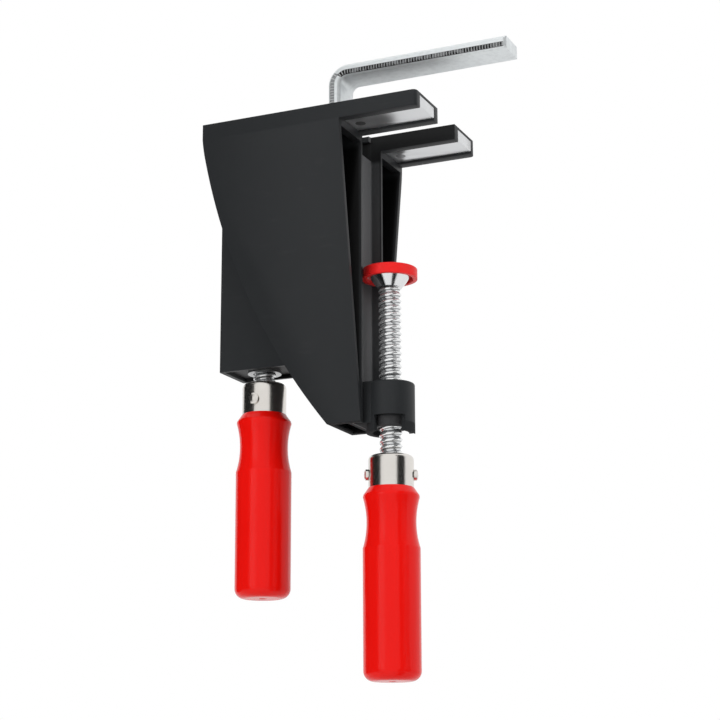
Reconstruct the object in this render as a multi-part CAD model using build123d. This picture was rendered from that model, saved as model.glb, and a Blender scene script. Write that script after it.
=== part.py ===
from build123d import *
import os

# A twin-screw clamp for window and door frames, in millimetres.
# X points along the two arms, Y goes across the body and Z is up.
# The origin is where the front spindle's axis meets the arms' clamping faces.

# Moulded body
TOP_Z = 7.5
ARM_DEPTH = 8.5
BACK_X = -93
FRONT_X = -10
ARM_END_X = 33
HALF_WIDTH = 42
WALL = 2.2
COLUMN_HALF = 14.2
CHANNEL_HALF = 12.2
CHANNEL_BACK_X = -16
SPINE_WALL = 2.5
SLEEVE_BOTTOM_Z = -122
COLUMN_BOTTOM_Z = -156
WING_FOOT_HALF = 15.8
WING_START_X = -90
WING_MIDDLE = (-71.6, -80)
WING_END_X = -29
CHEEK_CURVE = 10
ROOF = 3
WEB_DROP = 3.5
SLOT_BOTTOM_Z = -6
ARM_CORNER = 2.5
EDGE_ROUND = 1.2
CHANNEL_ROUND = 1

# Boss that holds the front nut
BOSS_RADIUS = 12.6
BOSS_TOP_Z = -134.5
BOSS_BOTTOM_Z = -160.4
BOSS_ROOF = 5.5
BOSS_NECK_HALF = 11
WINDOW_TOP_Z = -152.5
WINDOW_X = (-4, 10.7)
WINDOW_Y = 5
NUT_RADIUS = 9.5
NUT_BOTTOM_Z = -158

# Steel bars let into the arms
BAR_OUTER_LIP = 5.5
BAR_INNER_LIP = 5
BAR_TOP_SKIN = 1.5
BAR_BACK_X = FRONT_X
BAR_BEVEL = 0.8
RIVET_X = -4.5
RIVET_HEAD_RADIUS = 2.7
RIVET_SHANK_RADIUS = 1.6

# Threaded spindles, as plain cylinders on the crest of the thread
SPINDLE_RADIUS = 6
RUNNING_GAP = 0.05
FREE_GAP = 0.3
REAR_AXIS_X = -73

# Hook and the carriage that draws it down
HOOK_HALF = 9.8
HOOK_THICK = 7
HOOK_BACK_X = -31.5
HOOK_TOP_Z = 43.3
HOOK_END_X = 70.5
HOOK_BEND = 11
HOOK_BEVEL = 1.6
CARRIAGE_X = (-85, -21)
CARRIAGE_Z = (-62, -30)
CARRIAGE_NUT_RADIUS = 8.5
CROSS_PIN_RADIUS = 2.5
CROSS_PIN_Z = (-40, -52)

# Bearing of the rear spindle at the foot of its sleeve
PLATE_Z = (-120, -115)
PLATE_FRONT_X = -54
PLATE_BOSS_RADIUS = 9
WASHER_RADIUS = 10
WASHER_THICK = 1.5
COLLAR_RADIUS = 9.5
COLLAR_HEIGHT = 8
RETAINER_THICK = 3

# Pressure pad on its ball
PAD_TOP_Z = -72.8
RING_RADIUS = 14.5
RING_HEIGHT = 5.5
RING_WALL = 2.2
RING_LIP = 1.4
PLATE_THICK = 2.4
BALL_RADIUS = 4.6
BALL_DROP = 7.4
NECK_RADIUS = 3
PAD_HUB_RADIUS = 6.6

# Handles, the same for both spindles
FERRULE_RADIUS = 11.7
FERRULE_HEIGHT = 16.7
FERRULE_WALL = 1.2
FERRULE_ROUND = 2.5
HANDLE_LENGTH = 97.2
SHOULDER_RADIUS = 14.7
SHOULDER_DROP = 4.3
SHOULDER_ROUND = 2
WAIST_RADIUS = 12.7
WAIST_DROP = 19
WAIST_END_DROP = 31
BUTT_RADIUS = 14.6
BUTT_ROUND = 5
TANG_DEPTH = 30
DIMPLE_RADIUS = 2
PIN_RADIUS = 2
PIN_PROUD = 2.2
PIN_HEAD_RADIUS = 2.9
PIN_DOME = 0.8
FRONT_FERRULE_Z = -172.1
REAR_FERRULE_Z = -127.6
PIN_DROP = 10
FRONT_PIN_TURN = 26
REAR_PIN_TURN = 90

RIM_Z = TOP_Z - ARM_DEPTH
CAVITY_TOP_Z = TOP_Z - ROOF
BAR_TOP_Z = TOP_Z - BAR_TOP_SKIN


def block(x, y, z):
    """A box from three (low, high) pairs."""
    size = [high - low for low, high in (x, y, z)]
    middle = [(low + high) / 2 for low, high in (x, y, z)]
    return Pos(*middle) * Box(*size)


def rod(x, z, radius, y=0):
    """An upright cylinder from z[0] to z[1]."""
    return Pos(x, y, (z[0] + z[1]) / 2) * Cylinder(radius, z[1] - z[0])


def turned(points, x):
    """A solid of revolution about the upright axis at x, from (radius, z) points."""
    outline = Plane.XZ * make_face(Polyline(*points, close=True))
    return Pos(x, 0, 0) * revolve(outline, Axis.Z)


def both_sides(shape):
    return shape + mirror(shape, Plane.XZ)


def wing_side(shift_x=0, shift_z=0, top=RIM_Z, bottom=COLUMN_BOTTOM_Z, front=FRONT_X):
    """Side view of a wing: a curved rear edge that sweeps down to the foot of the column."""
    start = (WING_START_X + shift_x, RIM_Z + shift_z)
    middle = (WING_MIDDLE[0] + shift_x, WING_MIDDLE[1] + shift_z)
    end = (WING_END_X + shift_x, COLUMN_BOTTOM_Z + shift_z)
    edge = ThreePointArc(start, middle, end)
    corners = [end, (end[0], bottom), (front, bottom), (front, top), (start[0], top), start]
    corners = [point for index, point in enumerate(corners) if point != corners[index - 1]]
    return Plane.XZ * make_face(Curve() + [edge, Polyline(*corners)])


def wing_section():
    """Front view of both wings: cheeks that leave the top plate upright and slant in to the column."""
    half_curve = CHEEK_CURVE / 2
    inset = (HALF_WIDTH - WING_FOOT_HALF) * half_curve / (RIM_Z - COLUMN_BOTTOM_Z - half_curve)
    start = (HALF_WIDTH, RIM_Z)
    middle = (HALF_WIDTH - inset / 4, RIM_Z - half_curve)
    end = (HALF_WIDTH - inset, RIM_Z - CHEEK_CURVE)
    right = ThreePointArc(start, middle, end)
    left = ThreePointArc(*[(-y, z) for y, z in (end, middle, start)])
    foot = Polyline(end, (WING_FOOT_HALF, COLUMN_BOTTOM_Z), (-WING_FOOT_HALF, COLUMN_BOTTOM_Z), (-end[0], end[1]))
    top = Line((-HALF_WIDTH, RIM_Z), start)
    return Plane.YZ * make_face(Curve() + [right, foot, left, top])


def housing():
    depth = FRONT_X - BACK_X
    sleeve = block((BACK_X, FRONT_X), (-COLUMN_HALF, COLUMN_HALF), (SLEEVE_BOTTOM_Z, TOP_Z))
    sleeve = fillet(sleeve.edges().filter_by(Axis.Z).group_by(Axis.X)[0], EDGE_ROUND)
    cheeks = Pos(BACK_X, 0, 0) * extrude(wing_section(), depth)
    cheeks = cheeks & extrude(wing_side(), HALF_WIDTH, both=True)
    top_plate = block((WING_START_X, ARM_END_X), (-HALF_WIDTH, HALF_WIDTH), (RIM_Z, TOP_Z))
    top_plate = fillet(top_plate.edges().filter_by(Axis.Z).group_by(Axis.X)[-1], ARM_CORNER)
    body = sleeve + cheeks + top_plate

    # Hollow wings, open at the front below the web under the root of the arms
    pocket = Plane.YZ * make_face(Polyline((COLUMN_HALF, CAVITY_TOP_Z),
                                           (HALF_WIDTH - WALL, CAVITY_TOP_Z),
                                           (HALF_WIDTH - WALL, RIM_Z),
                                           (COLUMN_HALF, COLUMN_BOTTOM_Z + 2 * WALL), close=True))
    pocket = Pos(BACK_X, 0, 0) * extrude(pocket, depth)
    inner_side = wing_side(WALL + 0.2, WALL / 1.4, CAVITY_TOP_Z, COLUMN_BOTTOM_Z - WALL)
    pocket = pocket & extrude(inner_side, HALF_WIDTH, both=True)
    pocket -= block((FRONT_X - 2 * WALL, FRONT_X), (0, HALF_WIDTH), (RIM_Z - WEB_DROP, TOP_Z))
    body -= both_sides(pocket)

    # Inside of the column: a sleeve for the carriage, open at the foot
    spine_back_x = CHANNEL_BACK_X - SPINE_WALL
    half = (-CHANNEL_HALF, CHANNEL_HALF)
    cavity = block((BACK_X + SPINE_WALL, spine_back_x), half, (SLEEVE_BOTTOM_Z, CAVITY_TOP_Z))
    lower = extrude(wing_side(WALL + 0.2, WALL / 1.4, RIM_Z, COLUMN_BOTTOM_Z - WALL, spine_back_x),
                    CHANNEL_HALF, both=True)
    body -= cavity + lower

    # Channel down the front, gap between the arms and slot for the hook's leg
    channel = block((CHANNEL_BACK_X, ARM_END_X + 1), half, (COLUMN_BOTTOM_Z - 1, TOP_Z + 1))
    channel = fillet(channel.edges().filter_by(Axis.Z).group_by(Axis.X)[0], CHANNEL_ROUND)
    slot_half = HOOK_HALF + FREE_GAP
    slot = block((HOOK_BACK_X - FREE_GAP, CHANNEL_BACK_X), (-slot_half, slot_half), (SLOT_BOTTOM_Z, TOP_Z + 1))
    recess = block((CHANNEL_BACK_X - SPINE_WALL, CHANNEL_BACK_X + 1), half, (SLOT_BOTTOM_Z, CAVITY_TOP_Z))
    body -= channel + slot + recess

    # Pockets under the arms for the steel bars
    bar_y = (CHANNEL_HALF + BAR_INNER_LIP, HALF_WIDTH - BAR_OUTER_LIP)
    bar_pocket = block((BAR_BACK_X, ARM_END_X + 1), bar_y, (RIM_Z, BAR_TOP_Z))
    body -= both_sides(bar_pocket)
    for side in (-1, 1):
        body -= rod(RIVET_X, (BAR_TOP_Z - 1, TOP_Z), RIVET_SHANK_RADIUS, side * sum(bar_y) / 2)

    # Boss for the front nut on a neck from the column, its lower half cut open at both sides
    neck = block((CHANNEL_BACK_X, 0), (-BOSS_NECK_HALF, BOSS_NECK_HALF), (COLUMN_BOTTOM_Z, BOSS_TOP_Z))
    boss = rod(0, (BOSS_BOTTOM_Z, BOSS_TOP_Z), BOSS_RADIUS)
    boss = fillet(boss.edges().filter_by(GeomType.CIRCLE).sort_by(Axis.Z)[-1], EDGE_ROUND)
    window = block(WINDOW_X, (WINDOW_Y, BOSS_RADIUS + 1), (BOSS_BOTTOM_Z - 1, WINDOW_TOP_Z))
    body += neck + boss - both_sides(window)
    body -= rod(0, (BOSS_BOTTOM_Z - 1, BOSS_TOP_Z - BOSS_ROOF), NUT_RADIUS)
    body -= rod(0, (BOSS_BOTTOM_Z, BOSS_TOP_Z + 1), SPINDLE_RADIUS + FREE_GAP)
    return body


def jaw_bar(side):
    y = (CHANNEL_HALF + BAR_INNER_LIP, HALF_WIDTH - BAR_OUTER_LIP)
    bar = block((BAR_BACK_X, ARM_END_X), y, (0, BAR_TOP_Z))
    bar = chamfer(bar.edges().filter_by(Axis.X).group_by(Axis.Z)[0], BAR_BEVEL)
    rivet_y = sum(y) / 2
    bar -= rod(RIVET_X, (0, BAR_TOP_Z), RIVET_SHANK_RADIUS, rivet_y)
    bar -= Pos(RIVET_X, rivet_y, 0) * Cone(RIVET_HEAD_RADIUS, RIVET_SHANK_RADIUS,
                                           RIVET_HEAD_RADIUS - RIVET_SHANK_RADIUS,
                                           align=(Align.CENTER, Align.CENTER, Align.MIN))
    return bar if side > 0 else mirror(bar, Plane.XZ)


def jaw_rivets():
    y = (CHANNEL_HALF + BAR_INNER_LIP + HALF_WIDTH - BAR_OUTER_LIP) / 2
    head = RIVET_HEAD_RADIUS - RIVET_SHANK_RADIUS
    rivet = turned([(0, 0), (RIVET_HEAD_RADIUS, 0), (RIVET_SHANK_RADIUS, head),
                    (RIVET_SHANK_RADIUS, TOP_Z), (0, TOP_Z)], RIVET_X)
    rivet = Pos(0, y, 0) * rivet
    return Compound(children=[rivet, mirror(rivet, Plane.XZ)])


def front_nut():
    nut = rod(0, (NUT_BOTTOM_Z, BOSS_TOP_Z - BOSS_ROOF), NUT_RADIUS)
    nut -= rod(0, (NUT_BOTTOM_Z, BOSS_TOP_Z), SPINDLE_RADIUS + RUNNING_GAP)
    rim = nut.faces().sort_by(Axis.Z)[0].edges()
    return chamfer(rim, 0.8)


def bearing_plate():
    x = (BACK_X + SPINE_WALL, PLATE_FRONT_X)
    plate = block(x, (-CHANNEL_HALF, CHANNEL_HALF), PLATE_Z)
    plate += rod(REAR_AXIS_X, (SLEEVE_BOTTOM_Z, PLATE_Z[0]), PLATE_BOSS_RADIUS)
    return plate - rod(REAR_AXIS_X, (SLEEVE_BOTTOM_Z, PLATE_Z[1]), SPINDLE_RADIUS + RUNNING_GAP)


def thrust_washer():
    z = (PLATE_Z[1], PLATE_Z[1] + WASHER_THICK)
    return rod(REAR_AXIS_X, z, WASHER_RADIUS) - rod(REAR_AXIS_X, z, SPINDLE_RADIUS + FREE_GAP)


COLLAR_Z = PLATE_Z[1] + WASHER_THICK + FREE_GAP


def rear_collar():
    z = (COLLAR_Z, COLLAR_Z + COLLAR_HEIGHT)
    collar = rod(REAR_AXIS_X, z, COLLAR_RADIUS) - rod(REAR_AXIS_X, z, SPINDLE_RADIUS)
    return collar - collar_pin(COLLAR_RADIUS)


def collar_pin(half=COLLAR_RADIUS):
    return Pos(REAR_AXIS_X, 0, COLLAR_Z + COLLAR_HEIGHT / 2) * Rot(90, 0, 0) * Cylinder(1.5, 2 * half)


def retainer_plate():
    z = COLLAR_Z + COLLAR_HEIGHT + FREE_GAP
    plate = block((BACK_X + SPINE_WALL, PLATE_FRONT_X), (-CHANNEL_HALF, CHANNEL_HALF), (z, z + RETAINER_THICK))
    return plate - rod(REAR_AXIS_X, (z, z + RETAINER_THICK), SPINDLE_RADIUS + RUNNING_GAP)


def spindle(x, top, ferrule_z, turn):
    bottom = ferrule_z - FERRULE_HEIGHT - TANG_DEPTH
    screw = rod(x, (bottom, top), SPINDLE_RADIUS)
    screw = chamfer(screw.edges().sort_by(Axis.Z)[-1], 1)
    return screw - handle_pin_hole(x, ferrule_z, turn)


def handle_pin_hole(x, ferrule_z, turn):
    return Pos(x, 0, ferrule_z - PIN_DROP) * Rot(0, 0, turn) * Rot(0, 90, 0) * Cylinder(PIN_RADIUS, 60)


def handle_pin(x, ferrule_z, turn):
    """A cross pin with a low domed head at each end."""
    reach = FERRULE_RADIUS + PIN_PROUD
    half = [(PIN_RADIUS, FERRULE_RADIUS), (PIN_HEAD_RADIUS, FERRULE_RADIUS),
            (PIN_HEAD_RADIUS, reach - PIN_DOME), (PIN_HEAD_RADIUS * 0.7, reach - 0.3 * PIN_DOME), (0, reach)]
    other = [(radius, -along) for radius, along in reversed(half)]
    pin = turned(other + half, 0)
    return Pos(x, 0, ferrule_z - PIN_DROP) * Rot(0, 0, turn) * Rot(0, 90, 0) * pin


def ferrule(x, z, turn):
    """A drawn steel cup over the neck of the handle."""
    cup = rod(x, (z - FERRULE_HEIGHT, z), FERRULE_RADIUS)
    cup = fillet(cup.edges().sort_by(Axis.Z)[-1], FERRULE_ROUND)
    cup -= rod(x, (z - FERRULE_HEIGHT, z - FERRULE_WALL), FERRULE_RADIUS - FERRULE_WALL)
    cup -= rod(x, (z - FERRULE_HEIGHT, z), SPINDLE_RADIUS)
    return cup - handle_pin_hole(x, z, turn)


def handle(x, ferrule_z, turn):
    """A turned grip: a tenon in the ferrule, shoulder, waist and a long barrel with a round butt."""
    top = ferrule_z - FERRULE_HEIGHT
    end = top - HANDLE_LENGTH
    tenon = FERRULE_RADIUS - FERRULE_WALL
    neck = Polyline((0, ferrule_z - FERRULE_WALL), (tenon - 1.5, ferrule_z - FERRULE_WALL),
                    (tenon, ferrule_z - FERRULE_WALL - 1.5), (tenon, top), (FERRULE_RADIUS, top),
                    (SHOULDER_RADIUS, top - SHOULDER_DROP))
    waist = ThreePointArc((SHOULDER_RADIUS, top - SHOULDER_DROP), (WAIST_RADIUS, top - WAIST_DROP),
                          (SHOULDER_RADIUS, top - WAIST_END_DROP))
    barrel = Line((SHOULDER_RADIUS, top - WAIST_END_DROP), (BUTT_RADIUS, end + BUTT_ROUND))
    butt = ThreePointArc((BUTT_RADIUS, end + BUTT_ROUND),
                         (BUTT_RADIUS - 0.3 * BUTT_ROUND, end + 0.3 * BUTT_ROUND),
                         (BUTT_RADIUS - BUTT_ROUND, end))
    floor = Polyline((BUTT_RADIUS - BUTT_ROUND, end), (DIMPLE_RADIUS, end), (0, end + DIMPLE_RADIUS),
                     (0, ferrule_z - FERRULE_WALL))
    outline = make_face(Curve() + [neck, waist, barrel, butt, floor])
    shoulder = outline.vertices().sort_by_distance((SHOULDER_RADIUS, top - SHOULDER_DROP))[0]
    outline = fillet(shoulder, SHOULDER_ROUND)
    grip = Pos(x, 0, 0) * revolve(Plane.XZ * outline, Axis.Z)
    grip -= rod(x, (top - TANG_DEPTH, ferrule_z), SPINDLE_RADIUS)
    return grip - handle_pin_hole(x, ferrule_z, turn)


def hook():
    """A flat bar bent to an L, with bevelled narrow sides."""
    front_x = HOOK_BACK_X + HOOK_THICK
    under = HOOK_TOP_Z - HOOK_THICK
    inner = HOOK_BEND - HOOK_THICK
    corner = (HOOK_BACK_X + HOOK_BEND, HOOK_TOP_Z - HOOK_BEND)
    lean = 0.5 ** 0.5
    outer_arc = ThreePointArc((HOOK_BACK_X, corner[1]),
                              (corner[0] - HOOK_BEND * lean, corner[1] + HOOK_BEND * lean),
                              (corner[0], HOOK_TOP_Z))
    inner_arc = ThreePointArc((corner[0], under),
                              (corner[0] - inner * lean, corner[1] + inner * lean),
                              (front_x, corner[1]))
    end = Polyline((corner[0], HOOK_TOP_Z), (HOOK_END_X, HOOK_TOP_Z), (HOOK_END_X, under), (corner[0], under))
    foot = Polyline((front_x, corner[1]), (front_x, CARRIAGE_Z[0]), (HOOK_BACK_X, CARRIAGE_Z[0]),
                    (HOOK_BACK_X, corner[1]))
    bar = extrude(Plane.XZ * make_face(Curve() + [outer_arc, end, inner_arc, foot]), HOOK_HALF, both=True)
    sides = bar.faces().filter_by(Plane.XZ)
    bar = chamfer(sides.edges(), HOOK_BEVEL)
    return bar - cross_pin_holes()


def cross_pin_holes():
    x = HOOK_BACK_X + HOOK_THICK / 2
    return [Pos(x, 0, z) * Rot(90, 0, 0) * Cylinder(CROSS_PIN_RADIUS, 2 * CHANNEL_HALF) for z in CROSS_PIN_Z]


def hook_pins():
    x = HOOK_BACK_X + HOOK_THICK / 2
    length = 2 * (CHANNEL_HALF - 2 * FREE_GAP)
    return Compound(children=[Pos(x, 0, z) * Rot(90, 0, 0) * Cylinder(CROSS_PIN_RADIUS, length)
                              for z in CROSS_PIN_Z])


def carriage():
    """A cast yoke that ties the hook's leg to the nut on the rear spindle."""
    half = CHANNEL_HALF - FREE_GAP
    yoke = block(CARRIAGE_X, (-half, half), CARRIAGE_Z)
    yoke = fillet(yoke.edges().filter_by(Axis.Z), 1.5)
    window = block((REAR_AXIS_X + 12, HOOK_BACK_X - 5), (-half, half), (CARRIAGE_Z[0] + 7, CARRIAGE_Z[1] - 7))
    yoke -= fillet(window.edges().filter_by(Axis.Y), 3)
    yoke -= rod(REAR_AXIS_X, CARRIAGE_Z, CARRIAGE_NUT_RADIUS)
    return yoke - hook() - cross_pin_holes()


def carriage_nut():
    nut = rod(REAR_AXIS_X, CARRIAGE_Z, CARRIAGE_NUT_RADIUS)
    return nut - rod(REAR_AXIS_X, CARRIAGE_Z, SPINDLE_RADIUS + RUNNING_GAP)


BALL_Z = PAD_TOP_Z - BALL_DROP
NECK_Z = BALL_Z - BALL_RADIUS * 0.8


def swivel_ball():
    """A hardened ball that turns on the nose of the front spindle."""
    ball = Pos(0, 0, BALL_Z) * Sphere(BALL_RADIUS)
    ball -= rod(0, (BALL_Z - 2 * BALL_RADIUS, NECK_Z), BALL_RADIUS)
    return ball - rod(0, (NECK_Z, BALL_Z + 1.5), NECK_RADIUS + RUNNING_GAP)


def front_spindle():
    top = NECK_Z - FREE_GAP
    screw = spindle(0, top, FRONT_FERRULE_Z, FRONT_PIN_TURN)
    return screw + rod(0, (top, BALL_Z + 1), NECK_RADIUS)


def pressure_plate():
    """A pressed steel plate with a flared hub round the ball."""
    rim = RING_RADIUS - RING_WALL
    under = PAD_TOP_Z - RING_LIP - PLATE_THICK
    foot = NECK_Z + 1
    edge = Polyline((0, PAD_TOP_Z - RING_LIP), (rim, PAD_TOP_Z - RING_LIP), (rim, under), (rim - 1.5, under))
    flare = ThreePointArc((rim - 1.5, under), (rim - 4.2, under - 3), (PAD_HUB_RADIUS, foot))
    back = Polyline((PAD_HUB_RADIUS, foot), (0, foot), (0, PAD_TOP_Z - RING_LIP))
    plate = revolve(Plane.XZ * make_face(Curve() + [edge, flare, back]), Axis.Z)
    plate -= Pos(0, 0, BALL_Z) * Sphere(BALL_RADIUS + FREE_GAP)
    return plate - rod(0, (foot - 1, BALL_Z), NECK_RADIUS + 1.2)


def pad_ring():
    """A red plastic ring snapped round the plate, with a thin lip over its face."""
    outer = RING_RADIUS
    inner = RING_RADIUS - RING_WALL
    top = PAD_TOP_Z
    ring = turned([(inner - 3, top), (outer, top), (outer, top - RING_HEIGHT), (inner, top - RING_HEIGHT),
                   (inner, top - RING_LIP), (inner - 3, top - RING_LIP)], 0)
    return fillet(ring.faces().sort_by(Axis.Z)[-1].edges().sort_by(SortBy.LENGTH)[-1], 0.6)


REAR_TOP_Z = CAVITY_TOP_Z - 6

nodes = {
    "housing": housing(),
    "jaw_bar_near": jaw_bar(-1),
    "jaw_bar_far": jaw_bar(1),
    "jaw_rivets": jaw_rivets(),
    "front_nut": front_nut(),
    "bearing_plate": bearing_plate(),
    "thrust_washer": thrust_washer(),
    "retainer_plate": retainer_plate(),
    "hook": hook(),
    "hook_carriage": carriage(),
    "carriage_nut": carriage_nut(),
    "hook_pins": hook_pins(),
    "rear_spindle": spindle(REAR_AXIS_X, REAR_TOP_Z, REAR_FERRULE_Z, REAR_PIN_TURN) - collar_pin(),
    "rear_collar": rear_collar(),
    "rear_collar_pin": collar_pin() & rod(REAR_AXIS_X, (COLLAR_Z, COLLAR_Z + COLLAR_HEIGHT), COLLAR_RADIUS),
    "rear_ferrule": ferrule(REAR_AXIS_X, REAR_FERRULE_Z, REAR_PIN_TURN),
    "rear_handle_pin": handle_pin(REAR_AXIS_X, REAR_FERRULE_Z, REAR_PIN_TURN),
    "rear_handle": handle(REAR_AXIS_X, REAR_FERRULE_Z, REAR_PIN_TURN),
    "swivel_ball": swivel_ball(),
    "pressure_plate": pressure_plate(),
    "pad_ring": pad_ring(),
    "front_spindle": front_spindle(),
    "front_ferrule": ferrule(0, FRONT_FERRULE_Z, FRONT_PIN_TURN),
    "front_handle_pin": handle_pin(0, FRONT_FERRULE_Z, FRONT_PIN_TURN),
    "front_handle": handle(0, FRONT_FERRULE_Z, FRONT_PIN_TURN),
}

os.makedirs("parts", exist_ok=True)
for name, shape in nodes.items():
    shape.label = name
    export_step(shape, f"parts/{name}.step")
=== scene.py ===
import math

import bmesh
import bpy
from mathutils import Matrix, Vector


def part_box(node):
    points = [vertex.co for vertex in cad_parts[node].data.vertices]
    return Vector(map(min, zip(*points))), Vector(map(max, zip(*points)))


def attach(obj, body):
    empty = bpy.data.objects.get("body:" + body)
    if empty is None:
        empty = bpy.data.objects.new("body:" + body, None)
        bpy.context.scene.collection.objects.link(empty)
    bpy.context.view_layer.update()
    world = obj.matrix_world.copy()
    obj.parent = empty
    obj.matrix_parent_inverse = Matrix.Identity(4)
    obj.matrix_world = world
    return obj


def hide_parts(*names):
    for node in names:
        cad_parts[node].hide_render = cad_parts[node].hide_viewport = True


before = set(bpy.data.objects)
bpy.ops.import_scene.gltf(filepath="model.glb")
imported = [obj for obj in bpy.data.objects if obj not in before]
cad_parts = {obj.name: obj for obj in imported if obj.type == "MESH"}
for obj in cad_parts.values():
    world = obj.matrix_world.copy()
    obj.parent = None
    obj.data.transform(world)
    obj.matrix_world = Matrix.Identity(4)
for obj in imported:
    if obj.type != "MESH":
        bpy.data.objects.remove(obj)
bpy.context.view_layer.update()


# The body is one moulding in black glass-filled plastic. Its skin has a fine spark-eroded grain.
# Shade is painted near-black inside the hollow wings, in the sleeve and between the arms, and light is
# painted paler onto the back and sides of the channel, most of all below the pad.
# Every edge is broken to a small radius, which a softened copy of the solid shows.
MM = 0.001
BODY_EDGE = 0.45 * MM
SHARP_EDGE = 25
SMOOTH_UP_TO = 32
CHANNEL_BACK = -16 * MM
CHANNEL_FRONT = -10 * MM
CHANNEL_HALF = 12.2 * MM
SLOT_FOOT = -6 * MM
COLUMN_FOOT = -156 * MM
PAD_LEVEL = -78 * MM
WING_HALF = 41 * MM
WING_LEAN = 0.17
WING_REAR = -52 * MM
SWEPT_REAR = -98 * MM
WING_SWEEP = 0.526


class Wire:
    """A node's output socket, so that shader maths reads as plain expressions."""

    def __init__(self, socket):
        self.socket = socket

    def node(self, kind, settings={}, sockets={}, output=0):
        tree = self.socket.id_data
        made = tree.nodes.new("ShaderNode" + kind)
        for name, value in settings.items():
            setattr(made, name, value)
        for name, value in sockets.items():
            if isinstance(value, Wire):
                tree.links.new(value.socket, made.inputs[name])
            else:
                made.inputs[name].default_value = value
        return Wire(made.outputs[output])

    def math(self, operation, *values):
        return self.node("Math", {"operation": operation}, dict(enumerate(values)))

    def __add__(self, other):
        return self.math("ADD", self, other)

    def __sub__(self, other):
        return self.math("SUBTRACT", self, other)

    def __rsub__(self, other):
        return self.math("SUBTRACT", other, self)

    def __mul__(self, other):
        return self.math("MULTIPLY", self, other)

    def __abs__(self):
        return self.math("ABSOLUTE", self)

    def least(self, other):
        return self.math("MINIMUM", self, other)

    def most(self, other):
        return self.math("MAXIMUM", self, other)

    def root(self):
        return self.math("SQRT", self)

    __radd__ = __add__
    __rmul__ = __mul__

    def axes(self):
        return [self.node("SeparateXYZ", {}, {0: self}, index) for index in range(3)]

    def noise(self, per_metre, detail=3.0, stretch=(1, 1, 1)):
        spot = self.node("VectorMath", {"operation": "MULTIPLY"}, {0: self, 1: stretch})
        return self.node("TexNoise", {}, {"Vector": spot, "Scale": per_metre, "Detail": detail})

    def ramp(self, low, high, start=0.0, end=1.0):
        return self.node("MapRange", {"interpolation_type": "SMOOTHSTEP"},
                         {"Value": self, "From Min": low, "From Max": high, "To Min": start, "To Max": end})

    def blend(self, first, second):
        return self.node("Mix", {"data_type": "RGBA"}, {0: self, 6: first, 7: second}, 2)

    def bump(self, depth, strength=1.0):
        return self.node("Bump", {}, {"Height": self, "Distance": depth, "Strength": strength})


def new_finish(name):
    """A fresh material and its Object coordinates."""
    material = bpy.data.materials.new(name)
    material.use_nodes = True
    place = Wire(material.node_tree.nodes.new("ShaderNodeTexCoord").outputs["Object"])
    return material, place


def coat(material, sockets):
    """Sets or links the sockets of a finish's shader."""
    shader = material.node_tree.nodes["Principled BSDF"]
    for name, value in sockets.items():
        if isinstance(value, Wire):
            material.node_tree.links.new(value.socket, shader.inputs[name])
        else:
            shader.inputs[name].default_value = value
    return material


def dress(node, material):
    """Gives a finish to a node that keeps its own mesh."""
    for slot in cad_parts[node].material_slots:
        slot.material = material


def settle(shape, name, smooth_up_to=None):
    """A mesh from a finished shape, shaded smooth up to an angle where one is given."""
    mesh = bpy.data.meshes.new(name)
    shape.to_mesh(mesh)
    shape.free()
    if smooth_up_to:
        mesh.shade_smooth()
        mesh.set_sharp_from_angle(angle=math.radians(smooth_up_to))
    return mesh


def add_piece(name, mesh, body, material):
    """A new piece that rides on a body and takes its finish from a slot."""
    piece = bpy.data.objects.new(name, mesh)
    bpy.context.scene.collection.objects.link(piece)
    mesh.materials.clear()
    mesh.materials.append(material)
    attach(piece, body)
    return piece


def soften(node, name, body, material, radius):
    """A copy of a node with its sharp edges rounded over."""
    shape = bmesh.new()
    shape.from_mesh(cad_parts[node].data)
    bmesh.ops.remove_doubles(shape, verts=shape.verts, dist=2e-6)
    bmesh.ops.dissolve_limit(shape, angle_limit=math.radians(0.4), verts=shape.verts, edges=shape.edges)
    sharp = math.radians(SHARP_EDGE)
    edges = [edge for edge in shape.edges if edge.is_manifold and edge.calc_face_angle() > sharp]
    bmesh.ops.bevel(shape, geom=edges, offset=radius, offset_type="OFFSET", affect="EDGES", segments=2,
                    profile=0.5, material=-1, clamp_overlap=True)
    piece = add_piece(name, settle(shape, name, SMOOTH_UP_TO), body, material)
    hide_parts(node)


moulded_black, place = new_finish("moulded_black")
grain = place.noise(1900, 2.0)
cloud = place.noise(38, 4.0)
scuff = place.noise(240, 5.0, (0.25, 1, 1)).ramp(0.60, 0.76)
x, y, z = place.axes()
# Painted light: the back wall and the side walls of the channel, below the slot, are painted paler, as if
# lit.
channel_back = abs(x - CHANNEL_BACK).ramp(0.5 * MM, 0.2 * MM)
channel_back = channel_back * abs(y).ramp(CHANNEL_HALF + 0.1 * MM, CHANNEL_HALF - 0.6 * MM)
inner_side = abs(abs(y) - CHANNEL_HALF).ramp(0.6 * MM, 0.2 * MM)
channel_side = inner_side * x.ramp(CHANNEL_FRONT - 0.4 * MM, CHANNEL_FRONT - 1 * MM)
channel_side = channel_side * x.ramp(CHANNEL_BACK - 0.6 * MM, CHANNEL_BACK - 0.2 * MM)
channel_side = channel_side * z.ramp(SLOT_FOOT, SLOT_FOOT - 3 * MM)
paler_mask = (channel_back + 0.45 * channel_side) * (0.7 + 0.5 * cloud)

# Painted shade: the insides of the hollow wings and of the sleeve, and the inner sides of the arms, are
# masked here.
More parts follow.
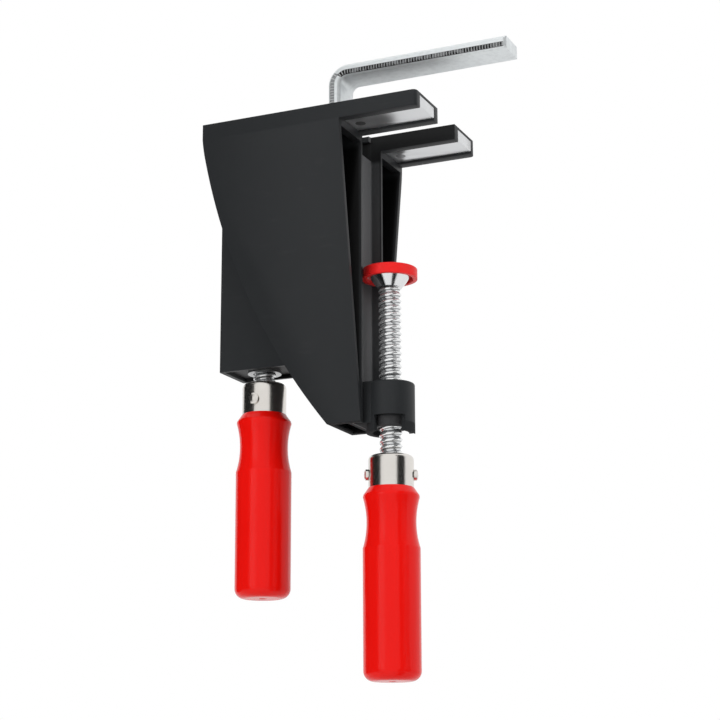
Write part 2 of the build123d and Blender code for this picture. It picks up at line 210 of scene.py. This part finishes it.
wing_depth = x.ramp(CHANNEL_FRONT - 0.8 * MM, CHANNEL_FRONT - 1.8 * MM)
wing_depth = wing_depth * x.ramp(WING_REAR - 10 * MM, WING_REAR)
wing_depth = wing_depth * (x + WING_SWEEP * z).ramp(SWEPT_REAR - 6 * MM, SWEPT_REAR)
wing_width = abs(y).ramp(CHANNEL_HALF + 0.8 * MM, CHANNEL_HALF + 1.2 * MM)
wing_width = wing_width * (abs(y) - WING_LEAN * z).ramp(WING_HALF + 0.2 * MM, WING_HALF - 0.2 * MM)
wing_inside = wing_depth * wing_width * z.ramp(SLOT_FOOT + 1 * MM, SLOT_FOOT - 3 * MM)
sleeve_inside = inner_side * x.ramp(CHANNEL_BACK - 1.6 * MM, CHANNEL_BACK - 2.2 * MM)
arm_inside = inner_side * z.ramp(SLOT_FOOT - 3 * MM, SLOT_FOOT)
shaded = wing_inside + sleeve_inside + 0.75 * arm_inside

skin = (0.35 * cloud + 0.25 * scuff).blend((0.0158, 0.0172, 0.0186, 1), (0.0258, 0.0274, 0.029, 1))
# Painted shade: the skin turns near-black in the masked hollows.
skin = shaded.blend(skin, (0.004, 0.004, 0.0042, 1))
# Painted light: the channel's painted paler tone is lighter still below the pad level.
pale = z.ramp(PAD_LEVEL, PAD_LEVEL - 12 * MM).blend((0.10, 0.101, 0.104, 1), (0.14, 0.141, 0.145, 1))
underside = z.ramp(COLUMN_FOOT + 0.5 * MM, COLUMN_FOOT + 0.1 * MM)
coat(moulded_black, {
    "Base Color": paler_mask.blend(skin, pale),
    "Roughness": 0.36 + 0.10 * cloud + 0.10 * grain + 0.4 * underside,
    "Specular IOR Level": 0.2,
    "Normal": grain.bump(0.00006, 0.35)})
soften("housing", "moulded_body", "body", moulded_black, BODY_EDGE)


# Flat steel bars are let into the underside of the arms and riveted at their inner ends.
# They are drawn, linished along their length and zinc plated to a satin shine.
BAR_EDGE = 0.25 * MM

satin_zinc, place = new_finish("satin_zinc")
brushed = place.noise(900, 3.0, (0.06, 1, 1))
patch = place.noise(70, 3.0)
coat(satin_zinc, {
    "Base Color": patch.blend((0.62, 0.63, 0.64, 1), (0.72, 0.73, 0.74, 1)),
    "Metallic": 0.9,
    "Roughness": 0.24 + 0.08 * brushed + 0.04 * patch,
    "Normal": brushed.bump(0.00002, 0.2)})
for side in ("near", "far"):
    soften("jaw_bar_" + side, "arm_bar_" + side, "body", satin_zinc, BAR_EDGE)

dark_rivet, place = new_finish("dark_rivet")
ring_marks = place.noise(700, 2.0)
coat(dark_rivet, {
    "Base Color": ring_marks.blend((0.22, 0.22, 0.225, 1), (0.36, 0.36, 0.37, 1)),
    "Metallic": 1.0,
    "Roughness": 0.38 + 0.12 * ring_marks})
dress("jaw_rivets", dark_rivet)


# The front spindle runs in a round blackened nut pressed into the boss.
# Its oxide skin is mottled a little paler and darker.
black_oxide, place = new_finish("black_oxide")
oxide = place.noise(420, 4.0)
coat(black_oxide, {
    "Base Color": oxide.blend((0.018, 0.018, 0.019, 1), (0.04, 0.04, 0.042, 1)),
    "Metallic": 0.4,
    "Roughness": 0.40 + 0.14 * oxide})
dress("front_nut", black_oxide)


# The rear spindle's bearing sits at the foot of the sleeve: a plate, a washer, a pinned collar
# and a retainer above it, all cut from plain rolled steel with a thin film of oil.
REAR_AXIS = -73 * MM
FLANGE_RADIUS = 9.1 * MM
FLANGE_TOP = -120 * MM

oiled_steel, place = new_finish("oiled_steel")
rolled = place.noise(300, 4.0, (1, 0.2, 1))
film = place.noise(45, 3.0)
coat(oiled_steel, {
    "Base Color": film.blend((0.40, 0.39, 0.38, 1), (0.54, 0.54, 0.55, 1)),
    "Metallic": 1.0,
    "Roughness": 0.28 + 0.18 * rolled,
    "Normal": rolled.bump(0.00004, 0.3)})
for node in ("thrust_washer", "retainer_plate", "rear_collar", "rear_collar_pin", "carriage_nut", "hook_pins",
             "swivel_ball"):
    dress(node, oiled_steel)

bearing_black, place = new_finish("bearing_black")
x, y, z = place.axes()
along = x - REAR_AXIS
off_axis = (along * along + y * y).root()
flange = off_axis.ramp(FLANGE_RADIUS + 0.2 * MM, FLANGE_RADIUS - 0.2 * MM)
flange = flange * z.ramp(FLANGE_TOP + 0.2 * MM, FLANGE_TOP - 0.2 * MM)
turned = off_axis.noise(900, 2.0)
coat(bearing_black, {
    "Base Color": flange.blend((0.012, 0.012, 0.013, 1), (0.42, 0.425, 0.43, 1)),
    "Metallic": flange,
    "Roughness": 0.48 - 0.26 * flange + 0.10 * turned})
dress("bearing_plate", bearing_black)


# The hook is a flat bar with bevelled edges, bent cold and zinc plated. Both narrow sides carry
# a rolled strip of cross teeth, with shade painted dark in their gaps: along the inner half of the arm, and
# along the outer half of the leg, where the slot rubs them bright.
HOOK_BEND_X = -20.5 * MM
HOOK_BEND_Z = 32.3 * MM
ARM_LINE = 6.2 * MM
LEG_LINE = 8.4 * MM
TOOTH_PITCH = 1.55 * MM
TOOTH_SIZE = (0.7 * MM, 0.5 * MM, 2.1 * MM)
TOOTH_END_X = 69 * MM
LEG_TEETH = 46 * MM
HOOK_SIDE = 9.8 * MM
HOOK_EDGE = 0.3 * MM

bright_zinc, place = new_finish("bright_zinc")
x, y, z = place.axes()
inward = (x - HOOK_BEND_X).least(0.0)
upward = (z - HOOK_BEND_Z).most(0.0)
reach = (inward * inward + upward * upward).root()
on_arm = (upward + inward).ramp(-0.8 * MM, 0.8 * MM)
off_line = abs(reach - (LEG_LINE + on_arm * (ARM_LINE - LEG_LINE)))
strip = off_line.ramp(1.35 * MM, 1.2 * MM) * abs(y).ramp(HOOK_SIDE - 0.7 * MM, HOOK_SIDE - 0.6 * MM)
strip = strip * x.ramp(TOOTH_END_X + 0.4 * MM, TOOTH_END_X - 0.2 * MM)
spangle = place.noise(95, 4.0)
drawn = place.noise(800, 3.0, (0.08, 1, 0.3))
worn = place.noise(330, 3.0).ramp(0.46, 0.62)
zinc = (0.6 * spangle + 0.4 * worn).blend((0.80, 0.835, 0.845, 1), (0.69, 0.72, 0.73, 1))
# Painted shade: under the teeth the strip is painted dark grey on the arm and near-black on the leg, for the
# shade between teeth.
gap = on_arm.blend((0.27, 0.28, 0.285, 1), worn.blend((0.010, 0.010, 0.011, 1), (0.16, 0.165, 0.17, 1)))
coat(bright_zinc, {
    "Base Color": strip.blend(zinc, gap),
    "Metallic": 0.7 - 0.5 * strip,
    "Roughness": 0.32 + 0.12 * drawn + 0.14 * spangle + 0.2 * strip,
    "Normal": (drawn + 0.8 * worn).bump(0.00008, 0.5)})
soften("hook", "bent_hook", "hook_slide", bright_zinc, HOOK_EDGE)

tooth_zinc, place = new_finish("tooth_zinc")
x = place.axes()[0]
paler_mask = 0.45 * place.noise(500, 3.0) + 0.55 * (x - HOOK_BEND_X).ramp(4 * MM, -6 * MM)
coat(tooth_zinc, {
    "Base Color": paler_mask.blend((0.34, 0.35, 0.355, 1), (0.74, 0.75, 0.76, 1)),
    "Metallic": 0.8,
    "Roughness": 0.34 + 0.12 * paler_mask})

arm_count = round((TOOTH_END_X - HOOK_BEND_X) / TOOTH_PITCH)
bend_count = round(ARM_LINE * math.pi / 2 / TOOTH_PITCH)
leg_count = round(LEG_TEETH / TOOTH_PITCH)
spots = [Matrix.Translation((HOOK_BEND_X + (index + 0.5) * TOOTH_PITCH, 0, HOOK_BEND_Z + ARM_LINE))
         for index in range(arm_count)]
bend_at = Matrix.Translation((HOOK_BEND_X, 0, HOOK_BEND_Z))
for index in range(bend_count):
    turn = Matrix.Rotation(-math.pi / 2 * (index + 0.5) / bend_count, 4, "Y")
    line = ARM_LINE if 2 * index < bend_count else LEG_LINE
    spots.append(bend_at @ turn @ Matrix.Translation((0, 0, line)))
quarter = Matrix.Rotation(math.pi / 2, 4, "Y")
spots += [Matrix.Translation((HOOK_BEND_X - LEG_LINE, 0, HOOK_BEND_Z - (index + 0.5) * TOOTH_PITCH)) @ quarter
          for index in range(leg_count)]


def whole(shape):
    """All that a shape is made of."""
    return shape.verts[:] + shape.edges[:] + shape.faces[:]


def verts_in(items):
    """The corners among an operator's results."""
    return [item for item in items if isinstance(item, bmesh.types.BMVert)]


teeth = bmesh.new()
tooth = bmesh.ops.create_cube(teeth, size=1.0)["verts"]
bmesh.ops.scale(teeth, vec=TOOTH_SIZE, verts=tooth)
crest = [vert for vert in tooth if vert.co.y < 0]
bmesh.ops.scale(teeth, vec=(0.45, 1, 0.92), verts=crest)
bmesh.ops.translate(teeth, vec=(0, -HOOK_SIDE, 0), verts=tooth)
other = verts_in(bmesh.ops.duplicate(teeth, geom=whole(teeth))["geom"])
bmesh.ops.rotate(teeth, cent=(0, 0, 0), matrix=Matrix.Rotation(math.pi, 3, "Z"), verts=other)
pair = whole(teeth)
for spot in spots:
    copied = bmesh.ops.duplicate(teeth, geom=pair)["geom"]
    bmesh.ops.transform(teeth, matrix=spot, verts=verts_in(copied))
bmesh.ops.delete(teeth, geom=verts_in(pair), context="VERTS")
add_piece("hook_teeth", settle(teeth, "hook_teeth"), "hook_slide", tooth_zinc)


# A die-cast yoke ties the hook's leg to its nut inside the sleeve.
# It has the dull grey skin of an untreated casting.
cast_grey, place = new_finish("cast_grey")
skin = place.noise(260, 5.0)
coat(cast_grey, {
    "Base Color": skin.blend((0.30, 0.30, 0.31, 1), (0.44, 0.44, 0.45, 1)),
    "Metallic": 0.9,
    "Roughness": 0.45 + 0.15 * skin,
    "Normal": skin.bump(0.00012, 0.3)})
dress("hook_carriage", cast_grey)


# Both spindles have a coarse right-hand thread, cold rolled to a round crest and root and then
# zinc plated. Shade is painted dark along its flanks and a highlight is painted paler on its crests.
# The thread is one profile swept round the axis as it climbs.
PITCH = 3.5 * MM
CREST = 6 * MM
ROOT = 4.9 * MM
FLANK = 5.3 * MM
TAIL = 5.3 * MM
NOSE = 3 * MM
NOSE_LENGTH = 5 * MM
SUNK_IN_FERRULE = 0.6 * MM
STEPS = 32
THREAD_SMOOTH_UP_TO = 50
FLANKS = ((0, 0), (0.08, 0.04), (0.16, 0.17), (0.24, 0.42), (0.32, 0.72), (0.4, 0.92), (0.5, 1),
          (0.6, 0.92), (0.68, 0.72), (0.76, 0.42), (0.84, 0.17), (0.92, 0.04), (1, 0))

rolled_zinc, place = new_finish("rolled_zinc")
x, y, _ = place.axes()
across = abs(x).least(abs(x - REAR_AXIS))
depth = (across * across + y * y).root()
# Painted highlight: the crests are painted paler than the rest of the thread.
crest = depth.ramp(CREST - 0.8 * MM, CREST - 0.2 * MM)
# Painted shade: a narrow band at the flanks' depth is painted dark.
clear = abs(depth - FLANK).ramp(0.04 * MM, 0.26 * MM)
plating = place.noise(160, 4.0)
rub = place.noise(1400, 2.0, (1, 1, 0.4))
zinc = (0.3 * plating + 0.7 * crest).blend((0.66, 0.67, 0.68, 1), (0.90, 0.91, 0.915, 1))
coat(rolled_zinc, {
    "Base Color": clear.blend((0.14, 0.143, 0.146, 1), zinc),
    "Metallic": 0.8,
    "Roughness": 0.17 - 0.05 * crest + 0.08 * rub + 0.05 * plating,
    "Normal": rub.bump(0.00010, 0.4)})


def add_spindle(name, node, ferrule, body, axis_x, nose_length=0.0):
    """A threaded rod with a plain tail in the handle and, at choice, a turned nose."""
    bottom, top = (corner[2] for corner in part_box(node))
    thread_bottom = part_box(ferrule)[1][2] - SUNK_IN_FERRULE
    thread_top = top - nose_length
    shape = bmesh.new()
    profile = [shape.verts.new((ROOT + (CREST - ROOT) * rise, 0, thread_bottom - PITCH + PITCH * along))
               for along, rise in FLANKS]
    line = [shape.edges.new(pair) for pair in zip(profile, profile[1:])]
    turns = math.ceil((thread_top - thread_bottom) / PITCH) + 1
    bmesh.ops.spin(shape, geom=profile + line, cent=(0, 0, 0), axis=(0, 0, 1), angle=2 * math.pi * turns,
                   steps=STEPS * turns, dvec=(0, 0, PITCH / STEPS))
    bmesh.ops.remove_doubles(shape, verts=shape.verts, dist=5e-6)
    for height, up in ((thread_bottom, -1), (thread_top, 1)):
        cut = bmesh.ops.bisect_plane(shape, geom=whole(shape), plane_co=(0, 0, height), plane_no=(0, 0, up),
                                     clear_outer=True)["geom_cut"]
        rim = [item for item in cut if isinstance(item, bmesh.types.BMEdge)]
        bmesh.ops.holes_fill(shape, edges=rim, sides=0)
    bmesh.ops.recalc_face_normals(shape, faces=shape.faces)
    rods = [(TAIL, bottom, thread_bottom)]
    if nose_length:
        rods.append((NOSE, thread_top, top))
    for radius, low, high in rods:
        rod = bmesh.ops.create_cone(shape, cap_ends=True, segments=STEPS, radius1=radius, radius2=radius,
                                    depth=high - low)["verts"]
        bmesh.ops.translate(shape, vec=(0, 0, (low + high) / 2), verts=rod)
    bmesh.ops.translate(shape, vec=(axis_x, 0, 0), verts=shape.verts)
    piece = add_piece(name, settle(shape, name, THREAD_SMOOTH_UP_TO), body, rolled_zinc)
    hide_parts(node)


add_spindle("front_screw_thread", "front_spindle", "front_ferrule", "front_screw", 0.0, NOSE_LENGTH)
add_spindle("rear_screw_thread", "rear_spindle", "rear_ferrule", "rear_screw", REAR_AXIS)


# The pressure plate is a bright pressing whose bowl-shaped hub is rolled in over the spindle's
# ball. A red plastic ring snaps over its rim to save the paint of the frame.
PLATE_THICK = 2.4 * MM
BOWL_TOP = 11 * MM
BOWL_FOOT = 6.4 * MM
BOWL_CURVE = 1.1
BOWL_STEPS = 12
SOCKET_DROP = 6 * MM
SOCKET_RADIUS = 4.9 * MM
SOCKET_MOUTH = 4.2 * MM
PLATE_SIDES = 64
RING_EDGE = 0.3 * MM

pressed_zinc, place = new_finish("pressed_zinc")
sheen = place.noise(120, 3.0)
coat(pressed_zinc, {
    "Base Color": sheen.blend((0.72, 0.73, 0.74, 1), (0.84, 0.84, 0.85, 1)),
    "Metallic": 1.0,
    "Roughness": 0.14 + 0.08 * sheen})

low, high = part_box("pressure_plate")
foot, top = low[2], high[2]
bowl_rim = top - PLATE_THICK
section = [(0, top), (high[0], top), (high[0], bowl_rim)]
for step in range(BOWL_STEPS + 1):
    fall = step / BOWL_STEPS
    radius = BOWL_TOP - (BOWL_TOP - BOWL_FOOT) * fall ** BOWL_CURVE
    section.append((radius, bowl_rim - (bowl_rim - foot) * fall))
section.append((SOCKET_MOUTH, foot))
mouth_angle = math.asin(SOCKET_MOUTH / SOCKET_RADIUS)
for step in range(BOWL_STEPS + 1):
    angle = mouth_angle + (math.pi - mouth_angle) * step / BOWL_STEPS
    section.append((SOCKET_RADIUS * math.sin(angle), top - SOCKET_DROP - SOCKET_RADIUS * math.cos(angle)))
shape = bmesh.new()
profile = [shape.verts.new((radius, 0, height)) for radius, height in section]
line = [shape.edges.new(pair) for pair in zip(profile, profile[1:])]
bmesh.ops.spin(shape, geom=profile + line, cent=(0, 0, 0), axis=(0, 0, 1), angle=2 * math.pi,
               steps=PLATE_SIDES, use_merge=True)
bmesh.ops.remove_doubles(shape, verts=shape.verts, dist=5e-6)
bmesh.ops.recalc_face_normals(shape, faces=shape.faces)
bowl = add_piece("bowl_plate", settle(shape, "bowl_plate", SMOOTH_UP_TO), "pad", pressed_zinc)
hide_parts("pressure_plate")

red_plastic, place = new_finish("red_plastic")
mottle = place.noise(90, 3.0)
fine = place.noise(1500, 2.0)
coat(red_plastic, {
    "Base Color": mottle.blend((0.72, 0.014, 0.014, 1), (0.79, 0.020, 0.019, 1)),
    "Roughness": 0.34 + 0.10 * fine,
    "Specular IOR Level": 0.2,
    "Normal": fine.bump(0.00003, 0.25)})
soften("pad_ring", "snap_ring", "pad", red_plastic, RING_EDGE)


# A drawn nickel-plated ferrule caps the neck of each handle. A headed cross pin goes through
# ferrule, wood and spindle, so that the handle can't slip round.
warm_nickel, place = new_finish("warm_nickel")
haze = place.noise(110, 4.0)
draw_lines = place.noise(600, 2.0, (1, 1, 0.1))
coat(warm_nickel, {
    "Base Color": haze.blend((0.68, 0.65, 0.61, 1), (0.77, 0.745, 0.71, 1)),
    "Metallic": 1.0,
    "Roughness": 0.15 + 0.08 * haze + 0.06 * draw_lines,
    "Normal": (haze + 0.15 * draw_lines).bump(0.0003, 0.25)})
for end in ("front", "rear"):
    dress(end + "_ferrule", warm_nickel)
    dress(end + "_handle_pin", warm_nickel)


# The handles are turned beech dipped in red lacquer. The grain shows only as a faint
# lengthwise relief under the gloss, and the lathe's centre mark is left in the butt.
red_lacquer, place = new_finish("red_lacquer")
grain = place.noise(420, 4.0, (1, 1, 0.05))
dip = place.noise(30, 3.0)
coat(red_lacquer, {
    "Base Color": (0.6 * dip + 0.4 * grain).blend((0.69, 0.0035, 0.0015, 1), (0.77, 0.0055, 0.003, 1)),
    "Roughness": 0.16 + 0.06 * dip,
    "Specular IOR Level": 0.2,
    "Normal": (grain + 0.6 * dip).bump(0.00012, 0.2)})
for end in ("front", "rear"):
    dress(end + "_handle", red_lacquer)


# The studio: a pale floor well below, a white surround, soft boxes at both sides, above and
# behind, and three dark cards, left, right and low in front, that only show as reflections.
FLOOR_LEVEL = -0.6
FLOOR_HALF = 4.0


def seen_directly(tree):
    """One for rays from the camera, from gloss and through glass, and nought for diffuse light."""
    path = tree.nodes.new("ShaderNodeLightPath")
    camera_ray, glossy_ray, glass_ray = (
        Wire(path.outputs[name]) for name in ("Is Camera Ray", "Is Glossy Ray", "Is Transmission Ray"))
    return (camera_ray + glossy_ray + glass_ray).least(1.0)


def add_stage(name, shape, material):
    """A surface of the studio, which is no piece of the clamp."""
    mesh = settle(shape, name)
    mesh.materials.append(material)
    stage = bpy.data.objects.new(name, mesh)
    bpy.context.scene.collection.objects.link(stage)
    return stage


pale_floor, place = new_finish("pale_floor")
mottle = place.noise(3, 3.0)
coat(pale_floor, {
    "Base Color": mottle.blend((0.86, 0.86, 0.86, 1), (0.90, 0.90, 0.90, 1)),
    "Roughness": 0.7})
tree = pale_floor.node_tree
white = place.node("Emission", {}, {"Color": (1, 1, 1, 1), "Strength": 1.0})
matt = Wire(tree.nodes["Principled BSDF"].outputs[0])
both = place.node("MixShader", {}, {0: 0.85 * seen_directly(tree), 1: matt, 2: white})
tree.links.new(both.socket, tree.nodes["Material Output"].inputs["Surface"])
shape = bmesh.new()
bmesh.ops.create_grid(shape, x_segments=1, y_segments=1, size=FLOOR_HALF)
bmesh.ops.translate(shape, vec=(0, 0, FLOOR_LEVEL), verts=shape.verts)
add_stage("studio_floor", shape, pale_floor)

world = bpy.data.worlds.new("white_surround")
bpy.context.scene.world = world
world.use_nodes = True
strength = seen_directly(world.node_tree).ramp(0.0, 1.0, 0.38, 1.0)
background = world.node_tree.nodes["Background"]
background.inputs["Color"].default_value = (1, 1, 1, 1)
world.node_tree.links.new(strength.socket, background.inputs["Strength"])

AZIMUTH = math.radians(24.124)
ELEVATION = math.radians(-13.942)
ROLL = math.radians(-0.173)
DISTANCE = 0.94185
FOCAL_PIXELS = 1815.56
FRAME_PIXELS = 720
SENSOR = 36.0
TARGET = Vector((-0.01486, -0.00525, -0.12125))
back = Vector((math.sin(AZIMUTH) * math.cos(ELEVATION), -math.cos(AZIMUTH) * math.cos(ELEVATION),
               math.sin(ELEVATION)))
right = Vector((math.cos(AZIMUTH), math.sin(AZIMUTH), 0))
up = back.cross(right)


def add_softbox(name, turn, height, away, size, power):
    """An oblong lamp at an angle round from the camera, aimed at the clamp."""
    lamp = bpy.data.lights.new(name, "AREA")
    lamp.shape = "RECTANGLE"
    lamp.size, lamp.size_y = size
    lamp.energy = power
    box = bpy.data.objects.new(name, lamp)
    angle = AZIMUTH + math.radians(turn)
    spot = Vector((math.sin(angle) * away, -math.cos(angle) * away, height))
    box.matrix_world = Matrix.Translation(spot) @ (spot - TARGET).to_track_quat("Z", "Y").to_matrix().to_4x4()
    bpy.context.scene.collection.objects.link(box)
    box.visible_glossy = False


add_softbox("key_box", 60, 0.15, 1.2, (0.7, 1.1), 6.5)
add_softbox("fill_box", -45, 0.05, 1.2, (0.6, 1.0), 8.5)
add_softbox("top_box", 20, 1.1, 0.5, (0.9, 0.9), 5.0)
add_softbox("back_box", 168, 0.3, 1.2, (0.7, 1.1), 6.0)

dark_card = new_finish("dark_card")[0]
coat(dark_card, {"Base Color": (0.02, 0.02, 0.02, 1), "Roughness": 0.9, "Specular IOR Level": 0.0})
for name, middle, half, reach, height in (("left_card", -93, 38, (1, 1), (-0.7, 0.9)),
                                          ("right_card", 50, 22, (1, 1), (-0.7, 0.9)),
                                          ("low_card", 36, 17, (0.06, 0.9), (-0.4, -0.4))):
    shape = bmesh.new()
    bmesh.ops.create_grid(shape, x_segments=12, y_segments=1, size=1.0)
    for vert in shape.verts:
        angle = AZIMUTH + math.radians(middle + half * vert.co.x)
        share = (vert.co.y + 1) / 2
        away = reach[0] + share * (reach[1] - reach[0])
        level = height[0] + share * (height[1] - height[0])
        vert.co = (away * math.sin(angle), -away * math.cos(angle), level)
    card = add_stage(name, shape, dark_card)
    card.visible_camera = False
    card.visible_diffuse = False
    card.visible_shadow = False

lens = bpy.data.cameras.new("photo_camera")
lens.sensor_width = SENSOR
lens.sensor_fit = "HORIZONTAL"
lens.lens = SENSOR * FOCAL_PIXELS / FRAME_PIXELS
lens.clip_start = 0.01
camera = bpy.data.objects.new("photo_camera", lens)
bpy.context.scene.collection.objects.link(camera)
across = math.cos(ROLL) * right + math.sin(ROLL) * up
above = math.cos(ROLL) * up - math.sin(ROLL) * right
camera.matrix_world = Matrix((across, above, back)).transposed().to_4x4()
camera.location = TARGET + DISTANCE * back
bpy.context.scene.camera = camera
bpy.context.scene.view_settings.view_transform = "Standard"
